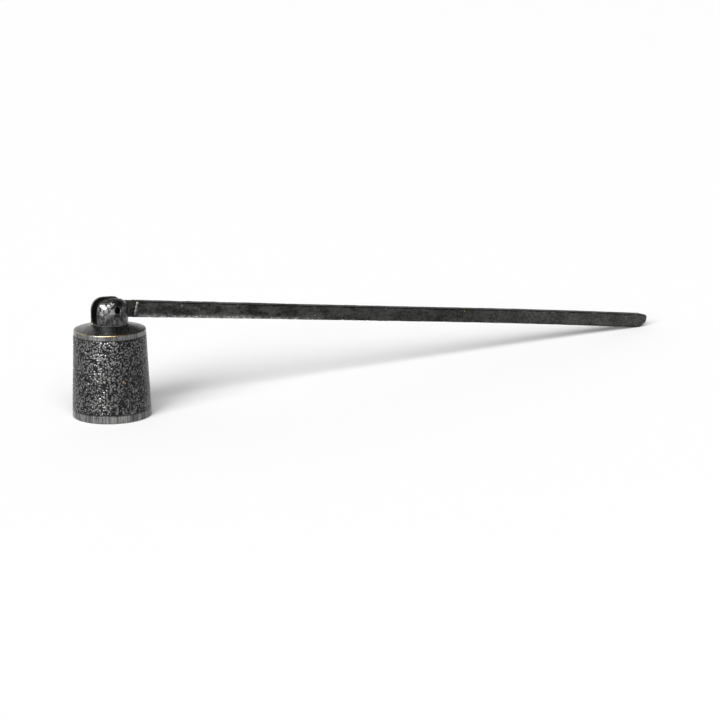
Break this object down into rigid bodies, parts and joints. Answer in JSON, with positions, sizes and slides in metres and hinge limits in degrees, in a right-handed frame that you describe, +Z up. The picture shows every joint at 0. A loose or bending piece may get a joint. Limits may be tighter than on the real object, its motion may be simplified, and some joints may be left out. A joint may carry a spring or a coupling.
{
  "type": "candle snuffer",
  "caption": "Candle snuffer: a small tapered bell with a domed, slotted hinge boss on top and a long slim bar handle that swings on a cross pin.",
  "frame": {"origin": "centre of the bell's mouth, on the surface that it stands on", "axes": "+Z up along the bell's axis; +X towards the handle's tip; Y is the hinge axis"},
  "size_m": [0.2403, 0.025, 0.0379],
  "materials": {
    "blackened_bell": "blackened, cast-textured, brass showing through at worn edges",
    "blackened_boss": "blackened and burnished",
    "pin_brass": "blackened",
    "blackened_bar": "blackened, hammered, worn along its edges",
    "nut_brass": "dull",
    "washer_steel": "dull"
  },
  "bodies": {
    "bell_head": {"bell": "blackened_bell", "hinge_boss": "blackened_boss", "hinge_pin": "pin_brass", "stud_nut": "nut_brass", "lock_washer": "washer_steel"},
    "handle_bar": {"handle": "blackened_bar"}
  },
  "joints": [
    {"name": "handle_hinge", "type": "hinge", "parent": "bell_head", "child": "handle_bar", "pos_m": [0, 0, 0.0348], "axis": [0, -1, 0], "range_deg": [-6.5, 205]}
  ]
}
